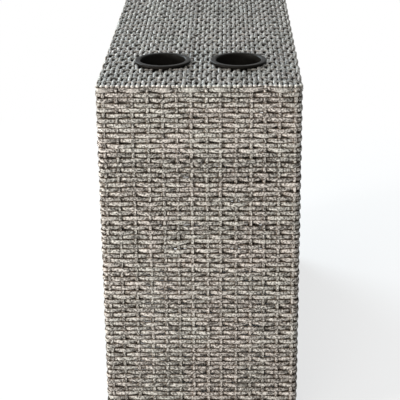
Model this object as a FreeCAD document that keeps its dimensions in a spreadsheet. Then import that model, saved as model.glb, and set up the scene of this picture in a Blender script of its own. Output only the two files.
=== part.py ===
import FreeCAD, Part
import math
import os
import Sketcher
from FreeCAD import Placement, Rotation, Vector

# Outdoor side table: a welded tube frame under a woven skin, two lift-out cup holders in the top,
# four levelling feet. Millimetres, +Z up, front towards -Y, origin on the floor under the middle.

sizes = {
    # overall
    "table_width": 330.0,
    "table_depth": 762.0,
    "table_height": 610.0,
    # woven skin
    "weave_thickness": 7.0,
    "weave_clearance": 0.3,
    "weave_edge_radius": 5.0,
    "weave_wrap": 3.0,
    "weave_hook": 14.0,
    "weave_row_count": 71,
    "weave_row_drop": 3.0,
    "weave_groove_width": 3.4,
    "weave_groove_depth": 2.4,
    # welded frame
    "tube_size": 25.0,
    "tube_wall": 1.5,
    "tube_corner": 2.5,
    "bar_size": 20.0,
    "mid_rail_height": 305.0,
    "rear_bar_count": 4,
    # cup holders
    "cup_gap": 37.0,
    "cup_setback": 150.6,
    "cup_bore_radius": 38.0,
    "cup_wall": 2.0,
    "cup_floor": 2.5,
    "cup_depth": 72.0,
    "cup_floor_bevel": 2.0,
    "cup_flange_overlap": 5.0,
    "cup_flange_thickness": 3.6,
    "cup_flange_edge": 2.8,
    "cup_flange_slope": 1.0,
    "cup_lip_bevel": 1.6,
    "cup_drain_radius": 4.0,
    "cup_rib_width": 2.0,
    "cup_rib_length": 34.0,
    "cup_rib_count": 4,
    "cup_rib_clearance": 0.4,
    # hoops that the cup holders drop through
    "hoop_gap": 2.0,
    "hoop_wall": 3.0,
    "hoop_height": 20.0,
    "strut_width": 4.0,
    # tube plugs
    "plug_flange": 2.5,
    "plug_clearance": 0.1,
    "plug_fin_depth": 1.4,
    "plug_fin_width": 1.6,
    "plug_fin_pitch": 6.0,
    "plug_fin_count": 3,
    # levelling feet
    "foot_clearance": 0.3,
    "pad_radius": 19.0,
    "pad_rim": 3.5,
    "pad_bevel": 1.2,
    "pad_floor": 2.6,
    "pad_cap": 2.8,
    "pad_collar_wall": 3.7,
    "stem_radius": 4.0,
    "stem_length": 30.0,
    "stem_neck_radius": 3.2,
    "stem_disc_radius": 6.0,
    "stem_disc_height": 3.0,
    "thread_clearance": 0.3,
    "hex_across_flats": 13.0,
    "hex_height": 5.0,
}

doc = FreeCAD.newDocument("side_table")
sheet = doc.addObject("Spreadsheet::Sheet", "Sizes")
for row, (alias, number) in enumerate(sizes.items(), start=1):
    sheet.set(f"A{row}", alias)
    sheet.set(f"B{row}", str(number))
    sheet.setAlias(f"B{row}", alias)
doc.recompute()


# A length that knows both its present number and the sheet expression it comes from.
class Term:
    def __init__(self, number, text):
        self.number = number
        self.text = text

    def __add__(self, other):
        return Term(self.number + number_of(other), f"({self.text} + {text_of(other)})")

    def __radd__(self, other):
        return self + other

    def __sub__(self, other):
        return Term(self.number - number_of(other), f"({self.text} - {text_of(other)})")

    def __rsub__(self, other):
        return Term(number_of(other) - self.number, f"({text_of(other)} - {self.text})")

    def __mul__(self, other):
        return Term(self.number * number_of(other), f"({self.text} * {text_of(other)})")

    def __rmul__(self, other):
        return self * other

    def __truediv__(self, other):
        return Term(self.number / number_of(other), f"({self.text} / {text_of(other)})")

    def __neg__(self):
        return Term(-self.number, f"(-1 * {self.text})")


def number_of(term):
    return term.number if isinstance(term, Term) else float(term)


def text_of(term):
    return term.text if isinstance(term, Term) else repr(term)


# A rounding radius, held to most of the wall that it rounds.
def within_wall(radius, wall):
    most = 0.9 * wall
    return Term(min(radius.number, most.number), f"min({radius.text}; {most.text})")


def size(alias):
    return Term(float(sheet.get(alias)), f"{sheet.Name}.{alias}")


def tie(target, name, term):
    target.setExpression(name, text_of(term))


# Sketching

def new_body(label):
    body = doc.addObject("PartDesign::Body", label)
    body.Label = label
    return body


def origin_feature(body, role):
    return next(feature for feature in body.Origin.OriginFeatures if feature.Role == role)


def new_sketch(body, role, height=None):
    sketch = body.newObject("Sketcher::SketchObject", f"{body.Name}_sketch")
    sketch.AttachmentSupport = [(origin_feature(body, role), "")]
    sketch.MapMode = "FlatFace"
    if height is not None:
        tie(sketch, "AttachmentOffset.Base.z", height)
    return sketch


def set_size(sketch, constraint, term):
    index = sketch.addConstraint(constraint)
    tie(sketch, f"Constraints[{index}]", term)


# Holds one point of the sketch at (x, y); a zero puts it on the axis itself.
def hold_point(sketch, edge, end, x, y):
    origin = (-1, 1)
    horizontal_axis = -1
    vertical_axis = -2
    if number_of(x) == 0:
        sketch.addConstraint(Sketcher.Constraint("PointOnObject", edge, end, vertical_axis))
    else:
        set_size(sketch, Sketcher.Constraint("DistanceX", *origin, edge, end, number_of(x)), x)
    if number_of(y) == 0:
        sketch.addConstraint(Sketcher.Constraint("PointOnObject", edge, end, horizontal_axis))
    else:
        set_size(sketch, Sketcher.Constraint("DistanceY", *origin, edge, end, number_of(y)), y)


def draw_outline(sketch, points):
    first = sketch.GeometryCount
    corners = [Vector(number_of(x), number_of(y), 0) for x, y in points]
    for start, end in zip(corners, corners[1:] + corners[:1]):
        sketch.addGeometry(Part.LineSegment(start, end))
    for index in range(len(points)):
        following = first + (index + 1) % len(points)
        sketch.addConstraint(Sketcher.Constraint("Coincident", first + index, 2, following, 1))
    for index, (x, y) in enumerate(points):
        hold_point(sketch, first + index, 1, x, y)


def draw_circle(sketch, radius, x=0, y=0):
    centre = Vector(number_of(x), number_of(y), 0)
    edge = sketch.addGeometry(Part.Circle(centre, Vector(0, 0, 1), number_of(radius)))
    hold_point(sketch, edge, 3, x, y)
    set_size(sketch, Sketcher.Constraint("Radius", edge, number_of(radius)), radius)


def draw_rectangle(sketch, left, bottom, right, top):
    draw_outline(sketch, [(left, bottom), (right, bottom), (right, top), (left, top)])


def draw_square(sketch, half_side):
    draw_rectangle(sketch, -half_side, -half_side, half_side, half_side)


# A rectangle centred on the origin, its four corners rounded alike.
def draw_rounded_rectangle(sketch, half_x, half_y, radius):
    a, b, r = number_of(half_x), number_of(half_y), number_of(radius)
    quarter = math.pi / 2
    sides = []
    corners = []
    for turn, (along, across) in enumerate([(a, b), (b, a), (a, b), (b, a)]):
        spin = Rotation(Vector(0, 0, 1), 90 * turn)
        start = spin.multVec(Vector(r - along, -across, 0))
        end = spin.multVec(Vector(along - r, -across, 0))
        sides.append(sketch.addGeometry(Part.LineSegment(start, end)))
        centre = spin.multVec(Vector(along - r, r - across, 0))
        circle = Part.Circle(centre, Vector(0, 0, 1), r)
        corners.append(sketch.addGeometry(Part.ArcOfCircle(circle, quarter * (turn - 1), quarter * turn)))
    for turn in range(4):
        sketch.addConstraint(Sketcher.Constraint("Tangent", sides[turn], 2, corners[turn], 1))
        sketch.addConstraint(Sketcher.Constraint("Tangent", corners[turn], 2, sides[(turn + 1) % 4], 1))
        lie = "Horizontal" if turn % 2 == 0 else "Vertical"
        sketch.addConstraint(Sketcher.Constraint(lie, sides[turn]))
    for corner in corners[1:]:
        sketch.addConstraint(Sketcher.Constraint("Equal", corners[0], corner))
    sketch.addConstraint(Sketcher.Constraint("Symmetric", corners[0], 3, corners[2], 3, -1, 1))
    set_size(sketch, Sketcher.Constraint("Radius", corners[0], r), radius)
    set_size(sketch, Sketcher.Constraint("DistanceX", -1, 1, sides[1], 1, a), half_x)
    set_size(sketch, Sketcher.Constraint("DistanceY", -1, 1, sides[2], 1, b), half_y)


# A quarter of a ring about the origin, between the two positive axes.
def draw_quarter_ring(sketch, inner, outer):
    middle = Vector(0, 0, 0)
    up = Vector(0, 0, 1)
    arcs = []
    for radius in (inner, outer):
        circle = Part.Circle(middle, up, number_of(radius))
        arc = sketch.addGeometry(Part.ArcOfCircle(circle, 0, math.pi / 2))
        sketch.addConstraint(Sketcher.Constraint("Coincident", arc, 3, -1, 1))
        sketch.addConstraint(Sketcher.Constraint("PointOnObject", arc, 1, -1))
        sketch.addConstraint(Sketcher.Constraint("PointOnObject", arc, 2, -2))
        set_size(sketch, Sketcher.Constraint("Radius", arc, number_of(radius)), radius)
        arcs.append(arc)
    ends = [(1, Vector(1, 0, 0)), (2, Vector(0, 1, 0))]
    for end, direction in ends:
        start_point = direction * number_of(inner)
        end_point = direction * number_of(outer)
        line = sketch.addGeometry(Part.LineSegment(start_point, end_point))
        sketch.addConstraint(Sketcher.Constraint("Coincident", line, 1, arcs[0], end))
        sketch.addConstraint(Sketcher.Constraint("Coincident", line, 2, arcs[1], end))


# Features

def add_pad(body, sketch, length, symmetric=False):
    pad = body.newObject("PartDesign::Pad", f"{body.Name}_pad")
    pad.Profile = sketch
    pad.SideType = "Symmetric" if symmetric else "One side"
    tie(pad, "Length", length)
    return pad


def add_pocket_through(body, sketch):
    pocket = body.newObject("PartDesign::Pocket", f"{body.Name}_pocket")
    pocket.Profile = sketch
    pocket.Type = "ThroughAll"
    pocket.SideType = "Symmetric"
    return pocket


def add_revolution(body, sketch):
    turned = body.newObject("PartDesign::Revolution", f"{body.Name}_turned")
    turned.Profile = sketch
    turned.ReferenceAxis = (sketch, ["V_Axis"])
    turned.Angle = 360
    return turned


def add_ring_pattern(body, feature, count):
    pattern = body.newObject("PartDesign::PolarPattern", f"{body.Name}_ring")
    pattern.Originals = [feature]
    pattern.Axis = (origin_feature(body, "Z_Axis"), [""])
    pattern.Angle = 360
    tie(pattern, "Occurrences", count)
    body.Tip = pattern
    return pattern


def add_stack_pattern(body, feature, length, count):
    pattern = body.newObject("PartDesign::LinearPattern", f"{body.Name}_stack")
    pattern.Originals = [feature]
    pattern.Direction = (origin_feature(body, "Z_Axis"), [""])
    tie(pattern, "Length", length)
    tie(pattern, "Occurrences", count)
    body.Tip = pattern
    return pattern


# Rounds every edge of the last feature that the test picks.
def add_round(body, feature, picks_edge, radius):
    doc.recompute()
    names = [f"Edge{index}" for index, edge in enumerate(feature.Shape.Edges, start=1) if picks_edge(edge)]
    rounding = body.newObject("PartDesign::Fillet", f"{body.Name}_round")
    rounding.Base = (feature, names)
    tie(rounding, "Radius", radius)
    return rounding


def put(body, x, y, z, axis=Vector(0, 0, 1), angle=0):
    body.Placement = Placement(Vector(0, 0, 0), Rotation(axis, angle))
    for name, term in (("x", x), ("y", y), ("z", z)):
        tie(body, f"Placement.Base.{name}", term)


# Levels and places that the pieces share

half_width = size("table_width") / 2
half_depth = size("table_depth") / 2
table_height = size("table_height")
weave = size("weave_thickness")
clearance = size("weave_clearance")
tube_size = size("tube_size")
tube_wall = size("tube_wall")
tube_corner = size("tube_corner")
bar_size = size("bar_size")
foot_clearance = size("foot_clearance")

frame_half_width = half_width - weave - clearance
frame_half_depth = half_depth - weave - clearance
frame_top = table_height - weave - clearance
disc_bottom = size("pad_floor") + foot_clearance
disc_top = disc_bottom + size("stem_disc_height")
socket_top = disc_top + foot_clearance
pad_height = socket_top + size("pad_cap")
hex_bottom = pad_height + foot_clearance
hex_top = hex_bottom + size("hex_height")
plug_bottom = hex_top + foot_clearance
frame_bottom = plug_bottom + size("plug_flange")
skin_bottom = frame_bottom - clearance - size("weave_wrap")
skin_top = table_height - weave
corner_outer = tube_corner + clearance + weave
post_x = frame_half_width - tube_size / 2
post_y = frame_half_depth - tube_size / 2

cup_outer = size("cup_bore_radius") + size("cup_wall")
hoop_inner = cup_outer + size("hoop_gap")
hoop_outer = hoop_inner + size("hoop_wall")
cup_x = size("cup_gap") / 2 + hoop_outer
cup_y = size("cup_setback") - half_depth

left_right = {"left": -1, "right": 1}
front_back = {"front": -1, "back": 1}
corner_names = [(f"{fore}_{side}", left_right[side], front_back[fore])
                for fore in front_back for side in left_right]


# Welded frame

along_x = (Vector(0, 1, 0), 90)
along_y = (Vector(1, 0, 0), -90)
upright = (Vector(0, 0, 1), 0)


def make_tube(label, length, section, direction, x, y, z):
    body = new_body(label)
    sketch = new_sketch(body, "XY_Plane")
    draw_rounded_rectangle(sketch, section / 2, section / 2, tube_corner)
    draw_square(sketch, section / 2 - tube_wall)
    add_pad(body, sketch, length, symmetric=True)
    put(body, x, y, z, *direction)


for name, side, fore in corner_names:
    make_tube(f"corner_post_{name}", frame_top - frame_bottom, tube_size, upright,
              side * post_x, fore * post_y, (frame_top + frame_bottom) / 2)

rail_levels = {
    "top": frame_top - tube_size / 2,
    "middle": size("mid_rail_height"),
    "bottom": frame_bottom + tube_size / 2,
}
inner_half_width = frame_half_width - tube_size
inner_half_depth = frame_half_depth - tube_size
for level, height in rail_levels.items():
    for name, fore in front_back.items():
        make_tube(f"{level}_rail_{name}", 2 * inner_half_width, tube_size, along_x,
                  0, fore * post_y, height)
    for name, side in left_right.items():
        make_tube(f"{level}_rail_{name}", 2 * inner_half_depth, tube_size, along_y,
                  side * post_x, 0, height)

bar_height = frame_top - bar_size / 2
bar_offset = hoop_outer + bar_size / 2
rear_cup_bar = cup_y + bar_offset
bar_places = {"cup_bar_front": cup_y - bar_offset, "cup_bar_rear": rear_cup_bar}
rear_bar_count = int(size("rear_bar_count").number)
rear_bar_pitch = (post_y - rear_cup_bar) / (size("rear_bar_count") + 1)
for index in range(1, rear_bar_count + 1):
    bar_places[f"top_bar_{index}"] = rear_cup_bar + index * rear_bar_pitch
for name, place in bar_places.items():
    make_tube(name, 2 * inner_half_width, bar_size, along_x, 0, place, bar_height)


# Hoops, rolled from flat bar, with short struts that tie them to each other and to the side rails

hoop_height = size("hoop_height")


def make_hoop(label, x):
    body = new_body(label)
    sketch = new_sketch(body, "XY_Plane")
    draw_circle(sketch, hoop_outer)
    draw_circle(sketch, hoop_inner)
    add_pad(body, sketch, hoop_height)
    put(body, x, cup_y, frame_top - hoop_height)


def make_strut(label, length, x):
    body = new_body(label)
    sketch = new_sketch(body, "XY_Plane")
    half_length = length / 2
    half_strut = size("strut_width") / 2
    draw_rectangle(sketch, -half_length, -half_strut, half_length, half_strut)
    add_pad(body, sketch, hoop_height)
    put(body, x, cup_y, frame_top - hoop_height)


hoop_edge = cup_x + hoop_outer
for name, side in left_right.items():
    make_hoop(f"cup_hoop_{name}", side * cup_x)
    make_strut(f"hoop_strut_{name}", inner_half_width - hoop_edge, side * (inner_half_width + hoop_edge) / 2)
make_strut("hoop_strut_middle", 2 * (cup_x - hoop_outer), 0)


# Woven skin: four sides that hook under the bottom rails, four turned corners and the top.
# The rows of the weave stand out on the sides between grooves.

skin_height = skin_top - skin_bottom
row_count = size("weave_row_count")
row_pitch = (table_height - size("weave_row_drop") - skin_bottom) / row_count


# A side panel faces -Y, with its lower outer edge on the local X axis.
def make_side_weave(label, half_length, hook_half_length, x, y, angle):
    wrap = size("weave_wrap")
    body = new_body(label)
    panel = new_sketch(body, "YZ_Plane")
    draw_rectangle(panel, 0, 0, weave, skin_height)
    add_pad(body, panel, 2 * half_length, symmetric=True)
    hook = new_sketch(body, "YZ_Plane")
    rail_far_side = weave + clearance + tube_size + clearance
    hook_top = wrap + clearance + size("weave_hook")
    draw_outline(hook, [
        (weave, 0),
        (rail_far_side + wrap, 0),
        (rail_far_side + wrap, hook_top),
        (rail_far_side, hook_top),
        (rail_far_side, wrap),
        (weave, wrap),
    ])
    add_pad(body, hook, 2 * hook_half_length, symmetric=True)
    groove = new_sketch(body, "YZ_Plane")
    groove_depth = size("weave_groove_depth")
    outside = groove_depth / 4
    half_groove = size("weave_groove_width") / 2 * 1.25
    draw_outline(groove, [
        (-outside, row_pitch - half_groove),
        (groove_depth, row_pitch),
        (-outside, row_pitch + half_groove),
    ])
    first_groove = add_pocket_through(body, groove)
    add_stack_pattern(body, first_groove, row_pitch * (row_count - 2), row_count - 1)
    put(body, x, y, skin_bottom, Vector(0, 0, 1), angle)


hook_setback = size("weave_wrap") + 2 * clearance
short_half = half_width - corner_outer
long_half = half_depth - corner_outer
short_hook = inner_half_width - hook_setback
long_hook = inner_half_depth - hook_setback
make_side_weave("weave_front", short_half, short_hook, 0, -half_depth, 0)
make_side_weave("weave_right", long_half, long_hook, half_width, 0, 90)
make_side_weave("weave_back", short_half, short_hook, 0, half_depth, 180)
make_side_weave("weave_left", long_half, long_hook, -half_width, 0, 270)


def make_corner_weave(label, side, fore, angle):
    body = new_body(label)
    sketch = new_sketch(body, "XY_Plane")
    draw_quarter_ring(sketch, tube_corner + clearance, corner_outer)
    add_pad(body, sketch, skin_height)
    put(body, side * short_half, fore * long_half, skin_bottom, Vector(0, 0, 1), angle)


corner_turns = {(1, 1): 0, (-1, 1): 90, (-1, -1): 180, (1, -1): 270}
for name, side, fore in corner_names:
    make_corner_weave(f"weave_corner_{name}", side, fore, corner_turns[side, fore])


def make_top_weave():
    body = new_body("weave_top")
    sketch = new_sketch(body, "XY_Plane")
    draw_rounded_rectangle(sketch, half_width, half_depth, corner_outer)
    plate = add_pad(body, sketch, weave)

    def on_upper_rim(edge):
        return edge.BoundBox.ZMin > weave.number / 2

    add_round(body, plate, on_upper_rim, within_wall(size("weave_edge_radius"), weave))
    openings = new_sketch(body, "XY_Plane")
    for side in left_right.values():
        draw_circle(openings, hoop_inner, side * cup_x, cup_y)
    add_pocket_through(body, openings)
    put(body, 0, 0, skin_top)


make_top_weave()


# Cup holders: a turned cup with a flange, drain hole and centring ribs; local z = 0 under the flange

def make_cup_holder(label, x):
    flange = size("cup_flange_thickness")
    flange_radius = hoop_inner + size("cup_flange_overlap")
    bore = size("cup_bore_radius")
    floor_top = flange - size("cup_depth")
    floor_bottom = floor_top - size("cup_floor")
    floor_bevel = size("cup_floor_bevel")
    lip = size("cup_lip_bevel")
    body = new_body(label)
    profile = new_sketch(body, "XZ_Plane")
    draw_outline(profile, [
        (flange_radius, 0),
        (flange_radius, size("cup_flange_edge")),
        (flange_radius - size("cup_flange_slope"), flange),
        (bore + lip, flange),
        (bore, flange - lip),
        (bore, floor_top + floor_bevel),
        (bore - floor_bevel, floor_top),
        (0, floor_top),
        (0, floor_bottom),
        (cup_outer - floor_bevel, floor_bottom),
        (cup_outer, floor_bottom + floor_bevel),
        (cup_outer, 0),
    ])
    add_revolution(body, profile)
    drain = new_sketch(body, "XY_Plane")
    draw_circle(drain, size("cup_drain_radius"))
    add_pocket_through(body, drain)
    rib_sketch = new_sketch(body, "XZ_Plane")
    rib_reach = hoop_inner - size("cup_rib_clearance")
    rib_foot = -size("cup_rib_length")
    rib_root = cup_outer - size("cup_wall") / 2
    draw_outline(rib_sketch, [
        (rib_root, 0),
        (rib_reach, 0),
        (rib_reach, rib_foot + size("hoop_gap")),
        (cup_outer, rib_foot),
        (rib_root, rib_foot),
    ])
    rib = add_pad(body, rib_sketch, size("cup_rib_width"), symmetric=True)
    add_ring_pattern(body, rib, size("cup_rib_count"))
    put(body, x, cup_y, table_height)


for name, side in left_right.items():
    make_cup_holder(f"cup_holder_{name}", side * cup_x)


# Plugs in the lower ends of the posts: a flange, a bored core and three square fins

stem_radius = size("stem_radius")


def make_plug(label, x, y):
    flange = size("plug_flange")
    fin_width = size("plug_fin_width")
    fin_pitch = size("plug_fin_pitch")
    fin_count = size("plug_fin_count")
    fin_half = tube_size / 2 - tube_wall - size("plug_clearance")
    core_half = fin_half - size("plug_fin_depth")
    body = new_body(label)
    cap = new_sketch(body, "XY_Plane")
    draw_rounded_rectangle(cap, tube_size / 2, tube_size / 2, tube_corner)
    add_pad(body, cap, flange)
    core = new_sketch(body, "XY_Plane")
    draw_square(core, core_half)
    add_pad(body, core, flange + fin_pitch * (fin_count + 1))
    fin = new_sketch(body, "XY_Plane", flange + fin_pitch - fin_width)
    draw_square(fin, fin_half)
    first_fin = add_pad(body, fin, fin_width)
    add_stack_pattern(body, first_fin, fin_pitch * (fin_count - 1), fin_count)
    bore = new_sketch(body, "XY_Plane")
    draw_circle(bore, stem_radius + size("thread_clearance"))
    add_pocket_through(body, bore)
    put(body, x, y, plug_bottom)


# Levelling feet: a moulded pad with a socket, and a stem whose end disc turns in that socket

disc_radius = size("stem_disc_radius")
neck_radius = size("stem_neck_radius")


def make_foot_pad(label, x, y):
    pad_radius = size("pad_radius")
    rim = size("pad_rim")
    bevel = size("pad_bevel")
    neck_hole = neck_radius + foot_clearance
    socket_radius = disc_radius + foot_clearance
    collar_radius = socket_radius + size("pad_collar_wall")
    body = new_body(label)
    profile = new_sketch(body, "XZ_Plane")
    draw_outline(profile, [
        (0, 0),
        (pad_radius, 0),
        (pad_radius, rim - bevel),
        (pad_radius - bevel, rim),
        (collar_radius, rim),
        (collar_radius, pad_height),
        (neck_hole, pad_height),
        (neck_hole, socket_top),
        (socket_radius, socket_top),
        (socket_radius, size("pad_floor")),
        (0, size("pad_floor")),
    ])
    add_revolution(body, profile)
    put(body, x, y, 0)


def make_foot_stem(label, x, y):
    stem_top = hex_top + size("stem_length")
    body = new_body(label)
    profile = new_sketch(body, "XZ_Plane")
    draw_outline(profile, [
        (0, disc_bottom),
        (disc_radius, disc_bottom),
        (disc_radius, disc_top),
        (neck_radius, disc_top),
        (neck_radius, hex_bottom),
        (stem_radius, hex_bottom),
        (stem_radius, stem_top),
        (0, stem_top),
    ])
    add_revolution(body, profile)
    flats = new_sketch(body, "XY_Plane", hex_bottom)
    half_flat = size("hex_across_flats") / 2
    to_corner = half_flat * (2 / math.sqrt(3))
    beside = to_corner / 2
    draw_outline(flats, [
        (to_corner, 0),
        (beside, half_flat),
        (-beside, half_flat),
        (-to_corner, 0),
        (-beside, -half_flat),
        (beside, -half_flat),
    ])
    add_pad(body, flats, size("hex_height"))
    put(body, x, y, 0)


for name, side, fore in corner_names:
    make_plug(f"post_plug_{name}", side * post_x, fore * post_y)
    make_foot_pad(f"foot_pad_{name}", side * post_x, fore * post_y)
    make_foot_stem(f"foot_stem_{name}", side * post_x, fore * post_y)


# Build, test and write

doc.recompute()
for item in doc.Objects:
    if "Invalid" in item.State or "Error" in item.State:
        raise RuntimeError(f"{item.Label} failed: {item.State}")

os.makedirs("parts", exist_ok=True)
bodies = [item for item in doc.Objects if item.TypeId == "PartDesign::Body"]
for body in bodies:
    if body.Shape.isNull() or not body.Shape.isValid() or len(body.Shape.Solids) != 1:
        raise RuntimeError(f"{body.Label} is not one valid solid")
for body in bodies:
    body.Shape.exportStep(f"parts/{body.Label}.step")
    print(f"{body.Label}: {body.Shape.Volume:.0f} mm3")
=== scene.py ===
import math
import random
import bpy
from mathutils import Matrix, Vector


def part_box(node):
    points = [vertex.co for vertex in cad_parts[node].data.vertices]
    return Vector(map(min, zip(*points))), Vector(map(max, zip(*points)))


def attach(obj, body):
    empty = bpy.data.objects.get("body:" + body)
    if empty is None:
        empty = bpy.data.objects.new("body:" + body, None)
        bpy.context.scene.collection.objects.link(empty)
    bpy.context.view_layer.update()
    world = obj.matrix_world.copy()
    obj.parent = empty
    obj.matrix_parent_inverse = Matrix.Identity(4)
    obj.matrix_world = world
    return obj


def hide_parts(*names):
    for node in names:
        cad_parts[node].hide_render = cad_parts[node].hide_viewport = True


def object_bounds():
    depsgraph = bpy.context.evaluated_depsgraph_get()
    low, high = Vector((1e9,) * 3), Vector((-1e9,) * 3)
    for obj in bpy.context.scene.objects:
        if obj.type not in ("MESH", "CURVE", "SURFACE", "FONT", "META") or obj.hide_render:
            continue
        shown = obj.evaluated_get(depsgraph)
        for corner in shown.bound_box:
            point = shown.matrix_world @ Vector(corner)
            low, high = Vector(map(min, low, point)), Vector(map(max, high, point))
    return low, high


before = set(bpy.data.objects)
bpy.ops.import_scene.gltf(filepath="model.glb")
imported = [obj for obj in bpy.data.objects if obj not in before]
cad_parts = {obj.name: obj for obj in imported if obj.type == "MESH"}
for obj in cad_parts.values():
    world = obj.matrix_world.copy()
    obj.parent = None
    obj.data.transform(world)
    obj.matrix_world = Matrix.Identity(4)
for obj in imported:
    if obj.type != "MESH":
        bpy.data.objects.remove(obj)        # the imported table, in metres, front towards -Y
cadLow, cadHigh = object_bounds()
mm = 0.001


# Selecting, joining and handing over pieces

def activate(obj):
    bpy.ops.object.select_all(action="DESELECT")
    obj.select_set(True)
    bpy.context.view_layer.objects.active = obj


def joinInto(first, other):
    activate(first)
    other.select_set(True)
    bpy.ops.object.join()


def smoothOver(obj, degrees):
    activate(obj)
    bpy.ops.object.shade_smooth_by_angle(angle=math.radians(degrees))


def finishPiece(obj, body, replaced, material):
    obj.data.materials.clear()
    obj.data.materials.append(material)
    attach(obj, body)
    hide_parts(*replaced)


# Colours and shader nodes

noiseRoughness = 0.55
mixSockets = {"first": 6, "second": 7, "result": 2}        # a mix node's sockets for colours


def screenColour(red, green, blue):        # 0-255 as seen on screen, to the shader's linear values
    linear = []
    for level in (red / 255, green / 255, blue / 255):
        linear.append(level / 12.92 if level <= 0.04045 else ((level + 0.055) / 1.055) ** 2.4)
    return (*linear, 1.0)


def grey(level):
    return (level, level, level, 1.0)


def newMaterial(name):
    material = bpy.data.materials.new(name)
    material.use_nodes = True
    tree = material.node_tree
    return material, tree, tree.nodes["Principled BSDF"]


def addNode(tree, kind, **settings):
    node = tree.nodes.new(kind)
    for key, value in settings.items():
        setattr(node, key, value)
    return node


def setInputs(node, **values):
    for key, value in values.items():
        node.inputs[key].default_value = value


def mathNode(tree, operation, first, second=0.0):
    node = addNode(tree, "ShaderNodeMath", operation=operation)
    for socket, value in zip(node.inputs, (first, second)):
        if isinstance(value, (int, float)):
            socket.default_value = value
        else:
            tree.links.new(value, socket)
    return node.outputs[0]


def times(tree, value, factor):
    return mathNode(tree, "MULTIPLY", value, factor)


def addShare(tree, value, extra, share):
    return mathNode(tree, "ADD", value, times(tree, extra, share))


def rampNode(tree, value, stops):          # stops: (position, colour)
    ramp = addNode(tree, "ShaderNodeValToRGB")
    ramp.color_ramp.elements[0].position = stops[0][0]
    ramp.color_ramp.elements[1].position = stops[-1][0]
    for stop in stops[1:-1]:
        ramp.color_ramp.elements.new(stop[0])
    for element, stop in zip(ramp.color_ramp.elements, stops):
        element.color = stop[1]
    tree.links.new(value, ramp.inputs["Fac"])
    return ramp.outputs["Color"]


def greyRamp(tree, value, stops):          # stops: (position, level)
    return rampNode(tree, value, [(place, grey(level)) for place, level in stops])


def multiplyColours(tree, first, second):
    mix = addNode(tree, "ShaderNodeMix", data_type="RGBA", blend_type="MULTIPLY")
    mix.inputs["Factor"].default_value = 1.0
    tree.links.new(first, mix.inputs[mixSockets["first"]])
    tree.links.new(second, mix.inputs[mixSockets["second"]])
    return mix.outputs[mixSockets["result"]]


def blendTowards(tree, colour, target, share):
    mix = addNode(tree, "ShaderNodeMix", data_type="RGBA")
    tree.links.new(share, mix.inputs["Factor"])
    tree.links.new(colour, mix.inputs[mixSockets["first"]])
    mix.inputs[mixSockets["second"]].default_value = target
    return mix.outputs[mixSockets["result"]]


def noiseNode(tree, vector, scale, detail):
    noise = addNode(tree, "ShaderNodeTexNoise")
    setInputs(noise, Scale=scale, Detail=detail, Roughness=noiseRoughness)
    tree.links.new(vector, noise.inputs["Vector"])
    return noise.outputs["Fac"]


def bumpNode(tree, shader, height, distance, strength):
    bump = addNode(tree, "ShaderNodeBump")
    setInputs(bump, Distance=distance, Strength=strength)
    tree.links.new(height, bump.inputs["Height"])
    tree.links.new(bump.outputs["Normal"], shader.inputs["Normal"])


# Resin strand: streaks and fine grooves that run along each strand

strandLook = {
    "dark": screenColour(64, 60, 55),
    "middle": screenColour(144, 139, 133),
    "light": screenColour(203, 198, 191),
    "toneStops": (0.38, 0.5, 0.62),          # where the three lie in the noise
    "streakLength": 12 * mm,
    "streaksAcross": 0.9,
    "streakShare": 0.12,
    "fineLength": 3.2 * mm,
    "finesAcross": 1.5,
    "fineShare": 0.88,
    "noiseDetail": 2.0,
    "strandSpread": 70.0,                    # moves each strand to its own part of the noise
    "middleShade": 0.5,
    "shadeShare": 0.07,                      # how far one strand differs from the next
    "paintedPale": screenColour(246, 241, 233),
    "paintedPaleShare": 0.85,                     # how far a strand is painted towards it: a painted highlight where a weaver turns over the edge, and a paler first row
    "warmTint": (1.03, 0.988, 0.97, 1.0),
    "coolTint": (0.99, 0.998, 0.975, 1.0),
    "tintStops": (0.38, 0.62),
    "patchSize": 45 * mm,
    "patchDetail": 1.0,
    "edgeShade": (0.22, 0.175, 0.14, 1.0),   # painted shade: the gaps along a strand's edges lie in shade
    "edgeStops": (0.58, 0.92),
    "edgeDip": 0.22,                         # it reaches further in where the strand dips
    "dipShade": (0.7, 0.66, 0.62, 1.0),      # and painted shade where the strand passes inside, in the recess behind a stake
    "dipStops": (0.45, 0.85),
    "roughness": ((0.3, 0.55), (0.7, 0.38)),
    "polish": ((0.55, 0.28), (0.85, 0.05)),
    "grooves": 5,
    "grooveDepth": 0.25 * mm,
    "grooveShare": 0.35,
}


def strandMarks(tree):
    marks = {}
    for label in ("along", "across", "shade", "dip"):
        marks[label] = addNode(tree, "ShaderNodeAttribute", attribute_name=label).outputs["Fac"]
    return marks


def strandNoise(tree, marks, length, acrossCount):
    vector = addNode(tree, "ShaderNodeCombineXYZ")
    apart = times(tree, marks["shade"], strandLook["strandSpread"])
    tree.links.new(times(tree, marks["along"], 1 / length), vector.inputs["X"])
    tree.links.new(times(tree, marks["across"], acrossCount), vector.inputs["Y"])
    tree.links.new(apart, vector.inputs["Z"])
    return noiseNode(tree, vector.outputs["Vector"], 1.0, strandLook["noiseDetail"])


def strandTone(tree, marks, streak, fine):
    look = strandLook
    mixed = addShare(tree, times(tree, streak, look["streakShare"]), fine, look["fineShare"])
    own = mathNode(tree, "SUBTRACT", marks["shade"], look["middleShade"])
    toned = addShare(tree, mixed, own, look["shadeShare"])
    tones = (look["dark"], look["middle"], look["light"])
    colour = rampNode(tree, toned, list(zip(look["toneStops"], tones)))
    # a dip below 0 paints the strand paler, towards the pale colour
    paling = mathNode(tree, "MAXIMUM", times(tree, marks["dip"], -1.0))
    return blendTowards(tree, colour, look["paintedPale"], times(tree, paling, look["paintedPaleShare"]))


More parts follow.
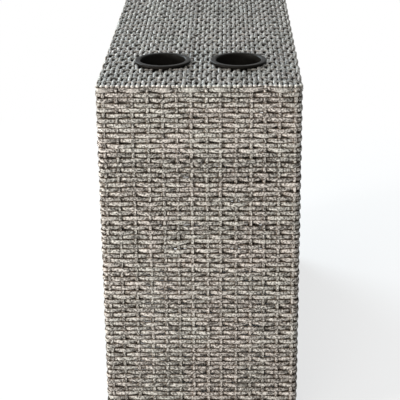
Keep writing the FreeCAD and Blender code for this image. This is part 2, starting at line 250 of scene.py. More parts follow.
def patchTint(tree):
    look = strandLook
    place = addNode(tree, "ShaderNodeTexCoord").outputs["Object"]
    patch = noiseNode(tree, place, 1 / look["patchSize"], look["patchDetail"])
    return rampNode(tree, patch, list(zip(look["tintStops"], (look["warmTint"], look["coolTint"]))))


# Painted shade: darker along a strand's edges, where the gaps between strands lie in shade, and darker
# where it passes inside, behind a stake.
def strandPaintedShade(tree, colour, fromMiddle, dip):
    look = strandLook
    edges = rampNode(tree, fromMiddle, list(zip(look["edgeStops"], (grey(1.0), look["edgeShade"]))))
    dips = rampNode(tree, dip, list(zip(look["dipStops"], (grey(1.0), look["dipShade"]))))
    return multiplyColours(tree, multiplyColours(tree, colour, edges), dips)


def makeStrandMaterial():
    look = strandLook
    material, tree, shader = newMaterial("resinStrand")
    marks = strandMarks(tree)
    streak = strandNoise(tree, marks, look["streakLength"], look["streaksAcross"])
    fine = strandNoise(tree, marks, look["fineLength"], look["finesAcross"])
    sideways = mathNode(tree, "ABSOLUTE", marks["across"])
    fromMiddle = addShare(tree, sideways, marks["dip"], look["edgeDip"])
    unshadedColour = multiplyColours(tree, strandTone(tree, marks, streak, fine), patchTint(tree))
    shadedColour = strandPaintedShade(tree, unshadedColour, fromMiddle, marks["dip"])
    tree.links.new(shadedColour, shader.inputs["Base Color"])
    tree.links.new(greyRamp(tree, fine, look["roughness"]), shader.inputs["Roughness"])
    tree.links.new(greyRamp(tree, fromMiddle, look["polish"]), shader.inputs["Specular IOR Level"])
    ridge = mathNode(tree, "SINE", times(tree, marks["across"], look["grooves"] * math.pi))
    height = addShare(tree, fine, ridge, look["grooveShare"])
    bumpNode(tree, shader, height, look["grooveDepth"], 1.0)
    return material


# Moulded plastic, powder coat and plated steel, all patterned by place on the piece

speckle = {
    "fineDetail": 3.0,
    "fineShare": 0.6,
    "broadScale": 0.04,
    "broadDetail": 2.0,
    "broadShare": 0.4,
    "toneStops": (0.35, 0.65),
    "roughStops": (0.3, 0.7),
    "bumpStrength": 0.6,
}
finishes = {
    "cupBlackSatin": {
        "dark": screenColour(26, 24, 22), "light": screenColour(34, 32, 29), "grain": 0.5 * mm,
        "roughness": (0.32, 0.42), "bumpDepth": 0.01 * mm, "metallic": 0.0, "shine": 0.032,
    },
    "powderCoat": {
        "dark": screenColour(78, 73, 67), "light": screenColour(96, 90, 83), "grain": 0.6 * mm,
        "roughness": (0.5, 0.65), "bumpDepth": 0.05 * mm, "metallic": 0.0, "shine": 0.5,
    },
    "blackNylon": {
        "dark": screenColour(34, 34, 34), "light": screenColour(48, 48, 48), "grain": 0.8 * mm,
        "roughness": (0.5, 0.62), "bumpDepth": 0.04 * mm, "metallic": 0.0, "shine": 0.5,
    },
    "zincPlate": {
        "dark": screenColour(178, 180, 182), "light": screenColour(205, 206, 206),
        "grain": 1.2 * mm, "roughness": (0.28, 0.42), "bumpDepth": 0.01 * mm,
        "metallic": 1.0, "shine": 0.5,
    },
}


def makeSpeckledMaterial(name):
    look = finishes[name]
    material, tree, shader = newMaterial(name)
    place = addNode(tree, "ShaderNodeTexCoord").outputs["Object"]
    fine = noiseNode(tree, place, 1 / look["grain"], speckle["fineDetail"])
    broad = noiseNode(tree, place, speckle["broadScale"] / look["grain"], speckle["broadDetail"])
    mixed = addShare(tree, times(tree, fine, speckle["fineShare"]), broad, speckle["broadShare"])
    tones = list(zip(speckle["toneStops"], (look["dark"], look["light"])))
    levels = list(zip(speckle["roughStops"], look["roughness"]))
    tree.links.new(rampNode(tree, mixed, tones), shader.inputs["Base Color"])
    tree.links.new(greyRamp(tree, broad, levels), shader.inputs["Roughness"])
    bumpNode(tree, shader, fine, look["bumpDepth"], speckle["bumpStrength"])
    setInputs(shader, **{"Metallic": look["metallic"], "Specular IOR Level": look["shine"]})
    return material


strandMaterial = makeStrandMaterial()
cupMaterial = makeSpeckledMaterial("cupBlackSatin")
frameMaterial = makeSpeckledMaterial("powderCoat")
nylonMaterial = makeSpeckledMaterial("blackNylon")
zincMaterial = makeSpeckledMaterial("zincPlate")
print("materials: resin strand, cup plastic, powder coat, nylon, zinc")


# Woven skin: where it lies

weave = {
    "rows": 71,
    "frontStakes": 14,
    "sideStakes": 31,
    "firstRowDrop": 3.0 * mm,        # top of the first row, below the table top
    "outerDepth": 1.5 * mm,          # middle of a strand where it passes outside a stake
    "innerDepth": 5.7 * mm,          # and where it passes inside
    "swell": 0.05,                   # a weaver spreads this much where it passes outside
    "swellFade": 2.5,                # how soon it narrows again as it dips
    "endSwell": 0.14,                # and it spreads this much where it turns down at the edge
    "smoothAngle": 50,
    "noiseStart": (0, 5),            # where along its pattern a strand starts, in metres
    "seed": 11,
}
stakeForm = {
    "sway": 0.6 * mm,                # out between two weavers, in under the next
    "dipReach": 1.4,                 # painted shade on a stake under a weaver
    "lean": 1.3 * mm,                # unevenness of the hand weaving
    "wander": 0.12 * mm,
    "hookWrap": 3.0 * mm,            # thickness of the part round the bottom rail
    "hookTop": 31.0 * mm,
    "hookBend": 4.0 * mm,
    "hookSteps": 3,
    "tipTurn": 1.2 * mm,
    "tipRise": 1.0 * mm,             # lower end of a stake at a corner, which has no hook
    "footRise": 2.0 * mm,
    "topTurn": 0.6 * mm,             # upper end, behind the first row
    "topDrop": 2.0 * mm,
}

topLow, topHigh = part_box("weave_top")
frontLow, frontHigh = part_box("weave_front")
cornerLow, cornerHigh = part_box("weave_corner_front_left")
halfWidth, halfDepth = topHigh.x, topHigh.y
topLevel = topHigh.z
skinFoot = frontLow.z
cornerRadius = cornerHigh.x - cornerLow.x
middleDepth = (topHigh.z - topLow.z) / 2
hookSpan = frontHigh.y - frontLow.y        # from the outside of the skin to the far side of its hook
firstRow = topLevel - weave["firstRowDrop"]
rowPitch = (firstRow - skinFoot) / weave["rows"]

straights = [2 * (halfWidth - cornerRadius), 2 * (halfDepth - cornerRadius)]
standoffs = [halfDepth, halfWidth]
bendRadius = cornerRadius - middleDepth
bendLength = bendRadius * math.pi / 2
outlineLength = 2 * sum(straights) + 4 * bendLength
stakeCounts = [weave["frontStakes"], weave["sideStakes"]] * 2


# A place on the skin, by its distance round the table from the front left corner and its depth.
def skinPlace(distance, depth):
    rest = distance % outlineLength
    for side in range(4):
        reach = straights[side % 2]
        standoff = standoffs[side % 2]
        turn = Matrix.Rotation(side * math.pi / 2, 2)
        if rest <= reach:
            return turn @ Vector((rest - reach / 2, depth - standoff))
        rest -= reach
        if rest <= bendLength:
            angle = rest / bendRadius
            out = Vector((math.sin(angle), -math.cos(angle))) * (cornerRadius - depth)
            return turn @ (Vector((reach / 2, cornerRadius - standoff)) + out)
        rest -= bendLength


def listStakes():
    places = []
    start = 0.0
    for side, count in enumerate(stakeCounts):
        reach = straights[side % 2]
        face = reach + 2 * cornerRadius
        for index in range(count):
            places.append(start + face * (index + 0.5) / count - cornerRadius)
        start += reach + bendLength
    return places


stakes = listStakes()


def stakeDistance(index):
    return stakes[index % len(stakes)] + outlineLength * (index // len(stakes))


def rowLevel(row):
    return firstRow - (row + 0.5) * rowPitch


def evenPlace(index, count, half):         # middle of one of the equal parts from -half to half
    return half * (2 * (index + 0.5) / count - 1)


def ease(share):
    return 0.5 - 0.5 * math.cos(math.pi * share)


def betweenDepths(here, there, share, flatness):        # above 1, flat outside and sharp inside
    if here < there:
        return betweenDepths(there, here, 1 - share, flatness)
    return here + (there - here) * (1 - (1 - share) ** flatness)


def quarterBend(middle, radius, fromAngle, toAngle, count):
    bend = []
    for index in range(count + 1):
        angle = math.radians(fromAngle + (toAngle - fromAngle) * index / count)
        bend.append((middle[0] + radius * math.cos(angle), middle[1] + radius * math.sin(angle)))
    return bend


# Strands: a half-round section swept along each run, then closed and marked for its material

sectionForm = {
    "backShare": 0.43,               # half the flat back, as a share of the width
    "edgeShare": 0.35,               # where the crown starts, as a share of the thickness
}
sections = {
    "weaverUpright": {
        "width": 8.2 * mm, "thickness": 2.4 * mm,
        "fullness": 0.7,             # below 1 the crown is flatter and its edges steeper
        "edgeReach": 1.0,            # below 1 less of the edge gets the painted shade
        "crownPoints": 5, "upright": True,
    },
    "weaverFlat": {
        "width": 6.0 * mm, "thickness": 2.4 * mm, "fullness": 0.7, "edgeReach": 0.66,
        "crownPoints": 5, "upright": False,
    },
    "stakeFlat": {
        "width": 6.4 * mm, "thickness": 2.2 * mm, "fullness": 0.55, "edgeReach": 1.0,
        "crownPoints": 4, "upright": False,
    },
    "topStakeFlat": {
        "width": 6.4 * mm, "thickness": 2.2 * mm, "fullness": 0.55, "edgeReach": 0.5,
        "crownPoints": 4, "upright": False,
    },
}


def sectionPlaces(size):                   # (sideways, outward) along the flat back, then the crown
    width, thickness = size["width"], size["thickness"]
    back, edge = sectionForm["backShare"] * width, sectionForm["edgeShare"]
    places = [(back, -thickness / 2), (-back, -thickness / 2)]
    for index in range(size["crownPoints"]):
        angle = math.pi * (1 - index / (size["crownPoints"] - 1))
        rise = edge + (1 - edge) * math.sin(angle)
        reach = math.copysign(abs(math.cos(angle)) ** size["fullness"], math.cos(angle))
        places.append((width / 2 * reach, thickness * (rise - 0.5)))
    return places


def makeSection(name):
    size = sections[name]
    data = bpy.data.curves.new(name, "CURVE")
    data.dimensions = "2D"
    places = sectionPlaces(size)
    spline = data.splines.new("POLY")
    spline.points.add(len(places) - 1)
    for knot, (sideways, outward) in zip(spline.points, places):
        knot.co = (outward, sideways, 0, 1) if size["upright"] else (sideways, outward, 0, 1)
    spline.use_cyclic_u = True
    obj = bpy.data.objects.new(name, data)
    bpy.context.collection.objects.link(obj)
    across = [size["edgeReach"] * sideways / (size["width"] / 2) for sideways, outward in places]
    return {"curve": obj, "across": across}


def swellAt(inside):
    outside = max(0.0, 1 - weave["swellFade"] * abs(inside))
    return weave["swell"] * outside + weave["endSwell"] * max(0.0, -inside)


def drawStrands(name, section, runs, twist):
    data = bpy.data.curves.new(name, "CURVE")
    data.dimensions = "3D"
    data.twist_mode = twist
    data.bevel_mode = "OBJECT"
    data.bevel_object = section["curve"]
    for run in runs:
        spline = data.splines.new("POLY")
        spline.points.add(len(run["points"]) - 1)
        for knot, place, inside in zip(spline.points, run["points"], run["dips"]):
            knot.co = (*place, 1)
            knot.tilt = run["tilt"]
            knot.radius = 1 + swellAt(inside) if run["swells"] else 1
    obj = bpy.data.objects.new(name, data)
    bpy.context.collection.objects.link(obj)
    return obj


def markStrands(obj, ring, runs):
    along, across, shade, dip = [], [], [], []
    for run in runs:
        travelled = run["start"]
        last = Vector(run["points"][0])
        for place, inside in zip(run["points"], run["dips"]):
            travelled += (Vector(place) - last).length
            last = Vector(place)
            along += [travelled] * len(ring)
            across += ring
            shade += [run["shade"]] * len(ring)
            dip += [inside] * len(ring)
    for label, values in (("along", along), ("across", across), ("shade", shade), ("dip", dip)):
        attribute = obj.data.attributes.new(label, "FLOAT", "POINT")
        attribute.data.foreach_set("value", values)


def closeEnds(sides):
    bpy.ops.object.mode_set(mode="EDIT")
    bpy.ops.mesh.select_all(action="SELECT")
    bpy.ops.mesh.fill_holes(sides=sides)
    bpy.ops.mesh.select_all(action="SELECT")
    bpy.ops.mesh.normals_make_consistent(inside=False)
    bpy.ops.object.mode_set(mode="OBJECT")


def layStrands(name, section, runs, twist="MINIMUM"):
    activate(drawStrands(name, section, runs, twist))
    bpy.ops.object.convert(target="MESH")
    obj = bpy.context.object
    markStrands(obj, section["across"], runs)
    closeEnds(len(section["across"]))
    smoothOver(obj, weave["smoothAngle"])
    return obj


def newRun(points, dips, tilt, swells, chance):
    return {"points": points, "dips": dips, "tilt": tilt, "swells": swells,
            "shade": chance.random(), "start": chance.uniform(*weave["noiseStart"])}


def dipAt(depth):                    # 0 where a weaver passes outside a stake, 1 where it passes inside
    inside = (depth - weave["outerDepth"]) / (weave["innerDepth"] - weave["outerDepth"])
    return min(max(inside, 0.0), 1.0)


def stakeDip(depth):                 # 0 where a stake shows between two weavers, more under a weaver, where it is painted in shade
    inside = 0.5 + (depth - middleDepth) / (2 * stakeForm["sway"])
    return stakeForm["dipReach"] * min(max(inside, 0.0), 1.0)


weaverUpright = makeSection("weaverUpright")
weaverFlat = makeSection("weaverFlat")
stakeFlat = makeSection("stakeFlat")
topStakeFlat = makeSection("topStakeFlat")


# Woven sides: rows of weavers round upright stakes

rowForm = {
    "flatness": 1.7,
    "frontSteps": 6,                 # points from one stake to the next
    "sideSteps": 5,
    "firstRowPale": 0.36,            # its colour is drawn paler than the other rows'
    "liftSpread": 0.7 * mm,          # unevenness of the hand weaving
    "depthSpread": 0.25 * mm,
    "slideSpread": 2.0 * mm,
    "endGap": 0.4 * mm,
}


def rowCrossings(row, first, last, chance):        # (distance, depth, height) at each stake
    crossings = []
    for index in range(first, last + 1):
        inward = abs(chance.gauss(0, rowForm["depthSpread"]))
        lift = chance.gauss(0, rowForm["liftSpread"])
        slide = chance.gauss(0, rowForm["slideSpread"]) if first < index < last else 0.0
        outside = (row + index) % 2 == 0
        depth = weave["outerDepth"] + inward if outside else weave["innerDepth"] - inward
        crossings.append((stakeDistance(index) + slide, depth, rowLevel(row) + lift))
    return crossings


# One row of a panel: it ends behind a stake at both sides, where the next panel's row goes on.
def rowRun(row, first, last, steps, chance):
    crossings = rowCrossings(row, first, last, chance)
    pale = rowForm["firstRowPale"] if row == 0 else 0.0
    points, dips = [], []
    for here, there in zip(crossings, crossings[1:]):
        for step in range(steps):
            share = step / steps
            distance = here[0] + (there[0] - here[0]) * share
            depth = betweenDepths(here[1], there[1], share, rowForm["flatness"])
            height = here[2] + (there[2] - here[2]) * ease(share)
            points.append((*skinPlace(distance, depth), height))
            dips.append(dipAt(depth) - pale)
    start, end = crossings[0], crossings[-1]
    points[0] = (*skinPlace(start[0] + rowForm["endGap"], start[1]), start[2])
    points.append((*skinPlace(end[0] - rowForm["endGap"], end[1]), end[2]))
    dips.append(dipAt(end[1]) - pale)
    return newRun(points, dips, 0.0, True, chance)


def hookProfile():                         # (depth, height) from its tip round the bottom rail
    foot = skinFoot + stakeForm["hookWrap"] / 2
    depth = hookSpan - stakeForm["hookWrap"] / 2
    bend, steps = stakeForm["hookBend"], stakeForm["hookSteps"]
    top, turn = stakeForm["hookTop"], stakeForm["tipTurn"]
    profile = [(depth + turn, top), (depth, top - turn)]
    profile += quarterBend((depth - bend, foot + bend), bend, 0, -90, steps)
    return profile + quarterBend((middleDepth + bend, foot + bend), bend, 270, 180, steps)


def plainFoot():
    tip = (middleDepth + stakeForm["tipTurn"], skinFoot + stakeForm["tipRise"])
    return [tip, (middleDepth, skinFoot + stakeForm["footRise"])]


# A stake, from its lower end up to the table top, as (depth, height).
def stakeProfile(index, hooked):
    profile = hookProfile() if hooked else plainFoot()
    for row in reversed(range(weave["rows"])):
        outside = (row + index) % 2 == 1
        sway = -stakeForm["sway"] if outside else stakeForm["sway"]
        profile.append((middleDepth + sway, rowLevel(row)))
    profile.append((middleDepth + stakeForm["topTurn"], firstRow - stakeForm["topDrop"]))
    return profile


def stakeRun(index, side, chance):
    reach = straights[side % 2]
    pairStart = side // 2 * (sum(straights) + 2 * bendLength)
    sideStart = pairStart + side % 2 * (straights[0] + bendLength)
    fromMiddle = abs(stakes[index] - sideStart - reach / 2)
    hookHalf = reach / 2 + cornerRadius - hookSpan
    profile = stakeProfile(index, fromMiddle < hookHalf)
    lean = chance.gauss(0, stakeForm["lean"])
    points = []
    for depth, height in profile:
        free = height > stakeForm["hookTop"]
        wander = chance.gauss(0, stakeForm["wander"]) if free else 0.0
        place = skinPlace(stakes[index] + lean + wander, min(depth, hookSpan))
        points.append((*place, height))
    dips = [stakeDip(depth) for depth, height in profile]
    return newRun(points, dips, math.pi, False, chance)


# A front or back row goes on round both corners, and a side row stops short of them.
def rowEnds(row, firstStake, lastStake, wraps):
    even = row % 2 == 0
    if wraps:
        return firstStake - (1 if even else 2), lastStake + (2 if even else 1)
    return firstStake + (1 if even else 0), lastStake - (0 if even else 1)


def makePanel(name, side, replaced):
    chance = random.Random(weave["seed"] + side)
    firstStake = sum(stakeCounts[:side])
    lastStake = firstStake + stakeCounts[side] - 1
    wraps = side % 2 == 0
    steps = rowForm["frontSteps"] if wraps else rowForm["sideSteps"]
    rows = []
    for row in range(weave["rows"]):
        first, last = rowEnds(row, firstStake, lastStake, wraps)
        rows.append(rowRun(row, first, last, steps, chance))
    panel = layStrands(name, weaverUpright, rows, "Z_UP")
    uprights = [stakeRun(index, side, chance) for index in range(firstStake, lastStake + 1)]
    joinInto(panel, layStrands(name + "Stakes", stakeFlat, uprights))
    finishPiece(panel, "table", replaced, strandMaterial)
    print(name + ":", len(panel.data.polygons), "faces")


makePanel("weaveFront", 0, ["weave_front", "weave_corner_front_left", "weave_corner_front_right"])
makePanel("weaveRight", 1, ["weave_right"])
makePanel("weaveBack", 2, ["weave_back", "weave_corner_back_left", "weave_corner_back_right"])
makePanel("weaveLeft", 3, ["weave_left"])


# Woven top: weavers run front to back over stakes that run left to right, cut round the cup holders

topForm = {
    "weavers": 41,
    "flatness": 0.7,
    "steps": 5,                      # points from one stake to the next
    "stakeSteps": 2,
    "depthSpread": 0.8 * mm,         # unevenness of the hand weaving
    "slideSpread": 2.6 * mm,
    "offsetSpread": 0.25 * mm,
    "tiltSpread": 0.12,
    "wander": 0.65 * mm,
    "wanderLength": (6, 10),         # in mm
    "askew": 0.85 * mm,              # each float lies a little askew
    "askewShare": (0.5, 1.4),
    # painted shade towards the ends of a top float, where the weaver dips under a stake
    "dipReach": 0.8,
    "dipPower": 0.6,
    "edgeTuck": 4.2 * mm,            # middle of a weaver where it goes down behind the first row
    "edgeBend": 3.2 * mm,
    "edgeAngle": 8,                  # degrees from upright at its end
    "edgeSteps": 4,
    "edgeGap": 0.1 * mm,
    "endPale": (0.55, 1.0),          # painted highlight where the weaver bends over the edge
    "paleShares": (0.8, 1.0, 0.6),   # from the edge of the top downwards
    "tuckedDips": (0.0, 0.6),        # and below that, behind the first row, painted shade
    "stakeBend": 5.0 * mm,
    # a little painted shade on the stakes of the top
    "stakeDip": 0.5,
    "trimRadius": 43.5 * mm,         # strands are cut here round a cup holder
    "shortestSpan": 2.0 * mm,
    "cutGap": 1.0 * mm,              # no other point lies this close to a cut
    "seedStep": 4,
}
weaverWidth = sections["weaverFlat"]["width"]
widest = halfWidth - (1 + weave["endSwell"]) * weaverWidth / 2 - topForm["edgeGap"]
topPitch = 2 * halfDepth / weave["sideStakes"]

cupCentres = []
for cupNode in ("cup_holder_left", "cup_holder_right"):
    low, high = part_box(cupNode)
    cupCentres.append((low + high) / 2)


# Spans of the axis that no cup holder opening cuts.
def clearSpans(start, end, fixed, fixedAxis):
    spans = [(start, end)]
    for centre in cupCentres:
        off = fixed - centre[fixedAxis]
        if abs(off) < topForm["trimRadius"]:
            half = math.sqrt(topForm["trimRadius"] ** 2 - off ** 2)
            middle = centre[1 - fixedAxis]
            cut = []
            for low, high in spans:
                cut.append((low, min(high, middle - half)))
                cut.append((max(low, middle + half), high))
            spans = [(low, high) for low, high in cut if high - low > topForm["shortestSpan"]]
    return spans


def depthAt(place, crossings):
    for here, there in zip(crossings, crossings[1:]):
        if place <= there[0]:
            share = (place - here[0]) / (there[0] - here[0])
            return betweenDepths(here[1], there[1], max(share, 0.0), topForm["flatness"])
    return crossings[-1][1]


# Depths along one strand of the top, as lists of (place, depth) for each uncut span.
def topSpans(crossings, fixed, fixedAxis, steps):
    start, end = crossings[0][0], crossings[-1][0]
    gap = topForm["cutGap"]
    places = []
    for here, there in zip(crossings, crossings[1:]):
        places += [here[0] + (there[0] - here[0]) * step / steps for step in range(steps)]
    places.append(end)
    spans = []
    for low, high in clearSpans(start, end, fixed, fixedAxis):
        inner = [place for place in places if low + gap < place < high - gap]
        spans.append([(place, depthAt(place, crossings)) for place in [low, *inner, high]])
    return spans


def cornerInset(offset):                   # how far a rounded corner draws in at this place
    past = abs(offset) - (halfWidth - cornerRadius)
    return cornerRadius - math.sqrt(max(cornerRadius ** 2 - past ** 2, 0.0)) if past > 0 else 0.0


def weaverCrossings(index, edge, chance):
    outer = weave["outerDepth"]
    count = weave["sideStakes"]
    crossings = [(-edge, outer)]
    for number in range(count):
        outside = (index + number) % 2 == 0
        inward = abs(chance.gauss(0, topForm["depthSpread"]))
        depth = outer + inward if outside else weave["innerDepth"] - inward
        slide = chance.gauss(0, topForm["slideSpread"])
        if number == 0:                    # room for the turn at the edge
            slide = abs(slide)
        elif number == count - 1:
            slide = -abs(slide)
        crossings.append((evenPlace(number, count, halfDepth) + slide, depth))
    return crossings + [(edge, outer)]


def newDrift(chance):                      # how one weaver strays sideways
    return {
        "bends": chance.uniform(*topForm["wanderLength"]) * mm,
        "phase": chance.uniform(0, 2 * math.pi),
        "askew": topForm["askew"] * chance.uniform(*topForm["askewShare"]),
        "offset": chance.gauss(0, topForm["offsetSpread"]),
    }


def driftedPlace(index, middle, drift, place):
    wander = topForm["wander"] * math.sin(place / drift["bends"] + drift["phase"])
    turn = math.pi * ((place + halfDepth) / topPitch - 0.5 - index)
    wander += drift["askew"] * math.sin(turn)
    return min(max(middle + drift["offset"] + wander, -widest), widest)


# The uncut lengths of one weaver: the first and the last turn down at the edge.
def weaverRuns(index, x, crossings, down, chance):
    drift = newDrift(chance)
    pale = chance.uniform(*topForm["endPale"])
    ends = [-pale * share for share in topForm["paleShares"]] + list(topForm["tuckedDips"])
    spans = topSpans(crossings, x, 0, topForm["steps"])
    runs = []
    for number, span in enumerate(spans):
        points, dips = [], []
        for place, depth in span:
            points.append((driftedPlace(index, x, drift, place), place, topLevel - depth))
            dips.append(topForm["dipReach"] * dipAt(depth) ** topForm["dipPower"])
        if number == 0:
            points = [(points[0][0], -y, z) for y, z in reversed(down)] + points
            dips = ends[::-1] + dips[1:]
        if number == len(spans) - 1:
            points += [(points[-1][0], y, z) for y, z in down]
            dips = dips[:-1] + ends
        runs.append(newRun(points, dips, chance.gauss(0, topForm["tiltSpread"]), True, chance))
    return runs


def topWeaverRuns(chance):
    bend, angle = topForm["edgeBend"], topForm["edgeAngle"]
    bendLevel = topLevel - weave["outerDepth"] - bend
    runs = []
    for index in range(topForm["weavers"]):
        x = evenPlace(index, topForm["weavers"], halfWidth)
        edge = halfDepth - topForm["edgeTuck"] - bend - cornerInset(abs(x) + weaverWidth / 4)
        crossings = weaverCrossings(index, edge, chance)
        down = quarterBend((edge, bendLevel), bend, 90, angle, topForm["edgeSteps"])[1:]
        runs += weaverRuns(index, x, crossings, down, chance)
    return runs


def stakeCrossings(index, edge):
    crossings = [(-edge, middleDepth)]
    for weaver in range(1, topForm["weavers"] - 1):
        outside = (index + weaver) % 2 == 1
        sway = -stakeForm["sway"] if outside else stakeForm["sway"]
        crossings.append((evenPlace(weaver, topForm["weavers"], halfWidth), middleDepth + sway))
    return crossings + [(edge, middleDepth)]


def topStakeRuns(chance):
    bend = topForm["stakeBend"]
    edge = halfWidth - middleDepth - bend
    bendLevel = topLevel - middleDepth - bend
    down = quarterBend((edge, bendLevel), bend, 90, 0, topForm["edgeSteps"])[1:]
    runs = []
    for index in range(weave["sideStakes"]):
        y = evenPlace(index, weave["sideStakes"], halfDepth)
        spans = topSpans(stakeCrossings(index, edge), y, 1, topForm["stakeSteps"])
        for number, span in enumerate(spans):
            points = [(place, y, topLevel - depth) for place, depth in span]
            if number == 0:
                points = [(-x, y, z) for x, z in reversed(down)] + points
            if number == len(spans) - 1:
                points += [(x, y, z) for x, z in down]
            runs.append(newRun(points, [topForm["stakeDip"]] * len(points), 0.0, False, chance))
    return runs


def trimRound(obj):                        # presses cut ends out to the round of the opening
    for vertex in obj.data.vertices:
        for centre in cupCentres:
            off = Vector((vertex.co.x - centre.x, vertex.co.y - centre.y))
            if off.length < topForm["trimRadius"]:
                off = off.normalized() * topForm["trimRadius"]
                vertex.co.x = centre.x + off.x
                vertex.co.y = centre.y + off.y


def makeTop():
    chance = random.Random(weave["seed"] + topForm["seedStep"])
    top = layStrands("weaveTop", weaverFlat, topWeaverRuns(chance), "Z_UP")
    joinInto(top, layStrands("topStakes", topStakeFlat, topStakeRuns(chance)))
    trimRound(top)
    finishPiece(top, "table", ["weave_top"], strandMaterial)
    print("weaveTop:", len(top.data.polygons), "faces")


makeTop()
for section in (weaverUpright, weaverFlat, stakeFlat, topStakeFlat):
    bpy.data.objects.remove(section["curve"])


# Cup holders: a rounded profile spun about the cup's middle

cup = {
    "boreRadius": 38.0 * mm,
    "wall": 2.0 * mm,
    "floor": 2.5 * mm,
    "depth": 72.0 * mm,
    "flangeThickness": 3.6 * mm,
    "flangeEdge": 2.8 * mm,
    "flangeSlope": 1.0 * mm,
    "lipSlope": 1.6 * mm,
    "lipDrop": 1.6 * mm,
    "drainRadius": 4.0 * mm,
    "rimRounding": 0.5 * mm,
    "seatRounding": 0.3 * mm,
    "drainRounding": 0.15 * mm,
    "floorRounding": 5.0 * mm,
    "roundingSteps": 4,
    "turns": 96,
    "smoothAngle": 40,
    "sameSpot": 0.01 * mm,           # points closer than this are one
    "dotSize": 1.0 * mm,             # of the plane that is shrunk to the outline's first point
}


def pickVertices(obj, place):
    bpy.ops.mesh.select_all(action="DESELECT")
    bpy.ops.object.mode_set(mode="OBJECT")
    for vertex in obj.data.vertices:
        vertex.select = (vertex.co - place).length < cup["sameSpot"]
    bpy.ops.object.mode_set(mode="EDIT")


def drawOutline(name, middle, corners):
    bpy.ops.object.select_all(action="DESELECT")
    bpy.ops.mesh.primitive_plane_add(size=cup["dotSize"], location=(0, 0, 0))
    obj = bpy.context.object
    obj.name = name
    bpy.ops.object.mode_set(mode="EDIT")
    bpy.ops.mesh.select_mode(type="VERT")
    bpy.ops.mesh.select_all(action="SELECT")
    bpy.ops.mesh.merge(type="CENTER")
    first = Vector((middle.x + corners[0][0], middle.y, corners[0][1]))
    bpy.ops.transform.translate(value=first)
    for here, there in zip(corners, corners[1:]):
        step = (there[0] - here[0], 0, there[1] - here[1])
        bpy.ops.mesh.extrude_region_move(TRANSFORM_OT_translate={"value": step})
    return obj


# Draws an outline of (radius, height, rounding) corners and spins it about an upright line.
def spinOutline(name, middle, corners):
    obj = drawOutline(name, middle, corners)
    for radius, height, rounding in corners:
        if rounding > 0:
            pickVertices(obj, Vector((middle.x + radius, middle.y, height)))
            bpy.ops.mesh.bevel(offset=rounding, segments=cup["roundingSteps"], affect="VERTICES",
                               clamp_overlap=True)
    bpy.ops.mesh.select_all(action="SELECT")
    bpy.ops.mesh.spin(steps=cup["turns"], angle=2 * math.pi, center=(middle.x, middle.y, 0),
                      axis=(0, 0, 1))
    bpy.ops.mesh.select_all(action="SELECT")
    bpy.ops.mesh.remove_doubles(threshold=cup["sameSpot"])
    bpy.ops.mesh.normals_make_consistent(inside=False)
    bpy.ops.object.mode_set(mode="OBJECT")
    return obj


def makeCupHolder(name, node, body):
    low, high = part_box(node)
    middle = (low + high) / 2
    seat = high.z - cup["flangeThickness"]
    flangeRadius = (high.x - low.x) / 2
    floorTop = high.z - cup["depth"]
    floorFoot = floorTop - cup["floor"]
    outer = cup["boreRadius"] + cup["wall"]
    rim, floor = cup["rimRounding"], cup["floorRounding"]
    corners = [
        (outer, seat, 0),
        (flangeRadius, seat, cup["seatRounding"]),
        (flangeRadius, seat + cup["flangeEdge"], rim),
        (flangeRadius - cup["flangeSlope"], high.z, rim),
        (cup["boreRadius"] + cup["lipSlope"], high.z, rim),
        (cup["boreRadius"], high.z - cup["lipDrop"], rim),
        (cup["boreRadius"], floorTop, floor),
        (cup["drainRadius"], floorTop, cup["drainRounding"]),
        (cup["drainRadius"], floorFoot, cup["drainRounding"]),
        (outer, floorFoot, floor + cup["wall"]),
        (outer, seat, 0),
    ]
    piece = spinOutline(name, middle, corners)
    smoothOver(piece, cup["smoothAngle"])
    finishPiece(piece, body, [node], cupMaterial)
    print(name + ":", len(piece.data.polygons), "faces")


makeCupHolder("cupHolderLeft", "cup_holder_left", "cup_left")
makeCupHolder("cupHolderRight", "cup_holder_right", "cup_right")


# Frame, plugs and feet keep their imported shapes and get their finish

frameTubes = (
    "corner_post", "top_rail", "middle_rail", "bottom_rail",
    "cup_bar", "top_bar", "cup_hoop", "hoop_strut",
)


def finishNodes(beginnings, material):
    count = 0
    for name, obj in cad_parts.items():
        if name.startswith(beginnings):
            obj.data.materials.clear()
            obj.data.materials.append(material)
            count += 1
    print(material.name + ":", count, "nodes")


finishNodes(frameTubes, frameMaterial)
finishNodes(("post_plug", "foot_pad"), nylonMaterial)
finishNodes(("foot_stem",), zincMaterial)


# Floor, light and camera

stage = {
    "floorSize": 60.0,
    "floorColour": (0.9, 0.9, 0.9, 1.0),
    "floorRoughness": 0.9,
    "whiteAtWall": 0.7,              # how white the camera sees the floor beside the table
    "whiteAt": 1.0,                  # and how far off it is plain white
    "underTable": -0.02,             # further in than this the floor stays as it is lit
    "ambient": 0.4,
    "ambientColour": (0.87, 0.95, 1.0, 1.0),
    "lampAim": (0, -0.2, 0.45),
    "keyPlace": (-3.5, -2.0, 0.79),
    "keySize": 0.9,
    "keyPower": 204.0,
    "keyColour": (1.0, 0.985, 0.965),
    "fillPlace": (-1.6, -4.0, 2.3),
    "fillSize": 2.5,
    "fillPower": 50.0,
    "fillColour": (1.0, 0.935, 0.85),
    "skyPlace": (-1.9, 2.6, 2.5),
    "skySize": 2.0,
    "skyPower": 142.0,
    "skyColour": (0.8, 0.93, 1.0),
}


def seenDirectly(tree):              # the camera, reflections and clear pieces see a white backdrop
    ray = addNode(tree, "ShaderNodeLightPath").outputs
    mirrored = mathNode(tree, "MAXIMUM", ray["Is Glossy Ray"], ray["Is Transmission Ray"])
    return mathNode(tree, "MAXIMUM", ray["Is Camera Ray"], mirrored)


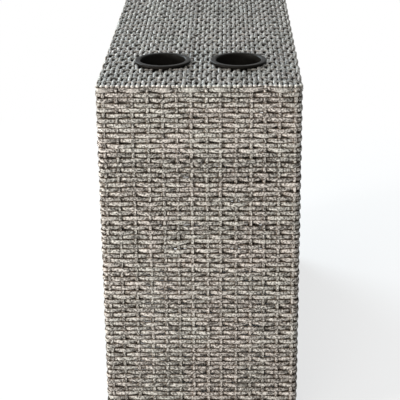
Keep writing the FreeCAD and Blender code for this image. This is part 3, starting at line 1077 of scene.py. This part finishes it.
def mixShaders(tree, share, first, second, output):
    mix = addNode(tree, "ShaderNodeMixShader")
    tree.links.new(share, mix.inputs["Fac"])
    tree.links.new(first, mix.inputs[1])
    tree.links.new(second, mix.inputs[2])
    tree.links.new(mix.outputs["Shader"], tree.nodes[output].inputs["Surface"])


def floorWhite(tree):                # rises from the table's wall outwards, none under the table
    split = addNode(tree, "ShaderNodeSeparateXYZ")
    place = addNode(tree, "ShaderNodeTexCoord").outputs["Object"]
    tree.links.new(place, split.inputs["Vector"])
    sideways = mathNode(tree, "ABSOLUTE", split.outputs["X"])
    lengthways = mathNode(tree, "ABSOLUTE", split.outputs["Y"])
    beside = mathNode(tree, "SUBTRACT", sideways, cadHigh.x)
    before = mathNode(tree, "SUBTRACT", lengthways, cadHigh.y)
    away = mathNode(tree, "MAXIMUM", beside, before)
    outside = mathNode(tree, "GREATER_THAN", away, stage["underTable"])
    fade = addNode(tree, "ShaderNodeMapRange")
    setInputs(fade, **{"From Max": stage["whiteAt"], "To Min": stage["whiteAtWall"]})
    tree.links.new(away, fade.inputs["Value"])
    return times(tree, fade.outputs["Result"], outside)


def makeFloor():
    bpy.ops.object.select_all(action="DESELECT")
    bpy.ops.mesh.primitive_plane_add(size=stage["floorSize"], location=(0, 0, cadLow.z))
    floor = bpy.context.object
    floor.name = "floor"
    material, tree, shader = newMaterial("paleFloor")
    look = {"Base Color": stage["floorColour"], "Roughness": stage["floorRoughness"]}
    setInputs(shader, **look)
    glow = addNode(tree, "ShaderNodeEmission").outputs["Emission"]
    share = times(tree, floorWhite(tree), seenDirectly(tree))
    mixShaders(tree, share, shader.outputs["BSDF"], glow, "Material Output")
    floor.data.materials.append(material)


def makeWorld():
    world = bpy.data.worlds.new("studio")
    world.use_nodes = True
    tree = world.node_tree
    room = tree.nodes["Background"]
    setInputs(room, Color=stage["ambientColour"], Strength=stage["ambient"])
    white = addNode(tree, "ShaderNodeBackground")
    setInputs(white, Color=grey(1.0), Strength=1.0)
    shown = (room.outputs["Background"], white.outputs["Background"])
    mixShaders(tree, seenDirectly(tree), *shown, "World Output")
    bpy.context.scene.world = world


def makeLight(name):
    data = bpy.data.lights.new(name, "AREA")
    data.shape = "DISK"
    data.size = stage[name + "Size"]
    data.energy = stage[name + "Power"]
    data.color = stage[name + "Colour"]
    light = bpy.data.objects.new(name, data)
    bpy.context.collection.objects.link(light)
    light.location = stage[name + "Place"]
    aim = Vector(stage["lampAim"]) - light.location
    light.rotation_euler = aim.to_track_quat("-Z", "Y").to_euler()


camera = {
    "pixels": 400,
    "focalPixels": 1253.1,
    "sensor": 36.0,
    "place": (0.0459, -2.2762, 1.1515),
    "yaw": -1.38,                    # degrees, from straight along +Y
    "pitch": 21.14,                  # degrees downwards
    "roll": 0.58,
}


def makeCamera():
    data = bpy.data.cameras.new("photoCamera")
    data.sensor_width = camera["sensor"]
    data.lens = camera["focalPixels"] / camera["pixels"] * camera["sensor"]
    obj = bpy.data.objects.new("photoCamera", data)
    bpy.context.collection.objects.link(obj)
    yaw, pitch, roll = (math.radians(camera[key]) for key in ("yaw", "pitch", "roll"))
    level = math.cos(pitch)
    forward = Vector((math.sin(yaw) * level, math.cos(yaw) * level, -math.sin(pitch)))
    right = Vector((math.cos(yaw), -math.sin(yaw), 0))
    down = forward.cross(right)
    across = math.cos(roll) * right + math.sin(roll) * down
    below = math.cos(roll) * down - math.sin(roll) * right
    axes = Matrix((across, -below, -forward)).transposed()
    obj.matrix_world = Matrix.Translation(camera["place"]) @ axes.to_4x4()
    bpy.context.scene.camera = obj


makeFloor()
makeWorld()
makeLight("key")
makeLight("fill")
makeLight("sky")
makeCamera()
bpy.context.scene.view_settings.view_transform = "Standard"
print("stage: floor, world, three lamps, camera")
